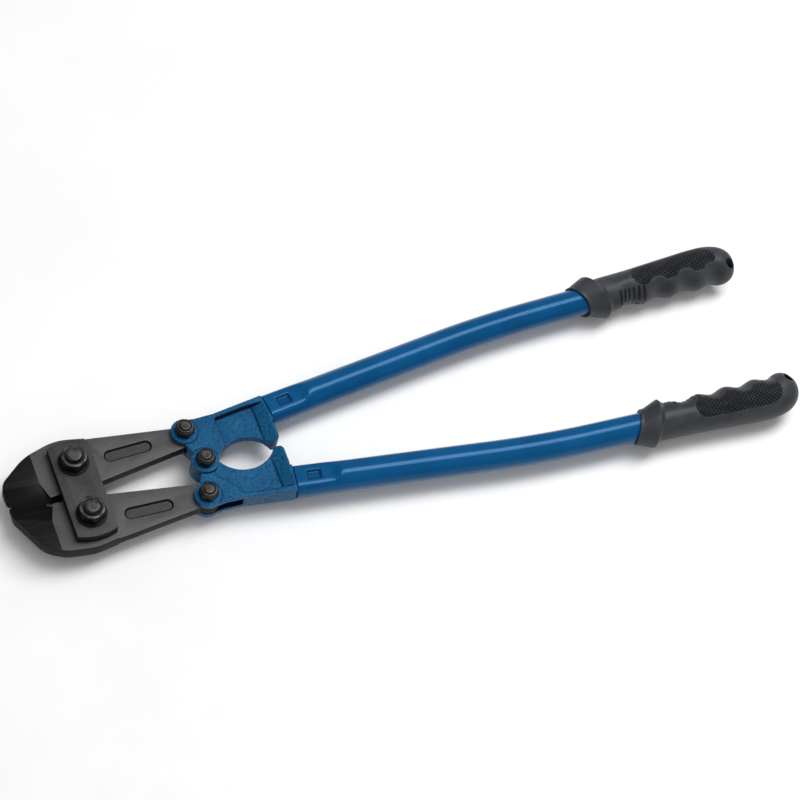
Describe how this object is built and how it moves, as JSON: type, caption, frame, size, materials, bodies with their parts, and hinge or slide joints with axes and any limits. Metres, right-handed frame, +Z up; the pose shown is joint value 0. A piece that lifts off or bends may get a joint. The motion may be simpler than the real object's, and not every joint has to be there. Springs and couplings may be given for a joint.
{
  "type": "bolt cutters",
  "caption": "Long-handled compound-lever bolt cutters with forged jaws, link plates, cast handle heads, steel tube handles and rubber grips.",
  "frame": {"origin": "under the middle of the whole tool, at the level of the lowest bolt heads", "axes": "+X from the jaws to the grips along the centre line, +Y across the tool to the upper handle, +Z up out of the plane of the tool"},
  "size_m": [0.615, 0.1588, 0.0472],
  "materials": {
    "jaw_steel": "blackened forged steel with ground bevels",
    "plate_steel": "blackened, satin",
    "bolt_steel": "black oxide",
    "nylon": "dark nylon",
    "casting_paint": "blue enamel over a rough casting",
    "tube_paint": "glossy blue enamel",
    "grip_rubber": "satin moulded rubber"
  },
  "bodies": {
    "lower_handle": {"lower_casting": "casting_paint", "lower_tube": "tube_paint", "lower_grip": "grip_rubber", "lower_jaw_bolt": "bolt_steel", "lower_jaw_nut": "bolt_steel", "lower_jaw_nut_insert": "nylon", "centre_bolt": "bolt_steel", "centre_nut": "bolt_steel", "centre_nut_insert": "nylon"},
    "upper_handle": {"upper_casting": "casting_paint", "upper_tube": "tube_paint", "upper_grip": "grip_rubber", "upper_jaw_bolt": "bolt_steel", "upper_jaw_nut": "bolt_steel", "upper_jaw_nut_insert": "nylon"},
    "lower_jaw": {"lower_jaw": "jaw_steel"},
    "upper_jaw": {"upper_jaw": "jaw_steel"},
    "link_plates": {"front_link_plate": "plate_steel", "back_link_plate": "plate_steel", "upper_link_bolt": "bolt_steel", "upper_link_washer": "bolt_steel", "upper_link_nut": "bolt_steel", "upper_link_nut_insert": "nylon", "lower_link_bolt": "bolt_steel", "lower_link_washer": "bolt_steel", "lower_link_nut": "bolt_steel", "lower_link_nut_insert": "nylon"}
  },
  "joints": [
    {"name": "handle_opening", "type": "hinge", "parent": "lower_handle", "child": "upper_handle", "pos_m": [-0.16154, 0, 0.0211], "axis": [0, 0, 1], "range_deg": [0, 80]},
    {"name": "lower_jaw_pivot", "type": "hinge", "parent": "lower_handle", "child": "lower_jaw", "pos_m": [-0.16854, -0.027, 0.0211], "axis": [0, 0, 1], "range_deg": [0, 46.6]},
    {"name": "upper_jaw_pivot", "type": "hinge", "parent": "upper_handle", "child": "upper_jaw", "pos_m": [-0.16854, 0.027, 0.0211], "axis": [0, 0, 1], "range_deg": [-46.6, 0]},
    {"name": "link_plate_pivot", "type": "hinge", "parent": "lower_jaw", "child": "link_plates", "pos_m": [-0.25454, -0.0215, 0.0211], "axis": [0, 0, 1], "range_deg": [-6.6, 0]}
  ],
  "couplings": [
    {"joint": "lower_jaw_pivot", "follows": "handle_opening", "ratio": 0.582},
    {"joint": "upper_jaw_pivot", "follows": "handle_opening", "ratio": -0.582},
    {"joint": "link_plate_pivot", "follows": "handle_opening", "ratio": -0.082}
  ]
}
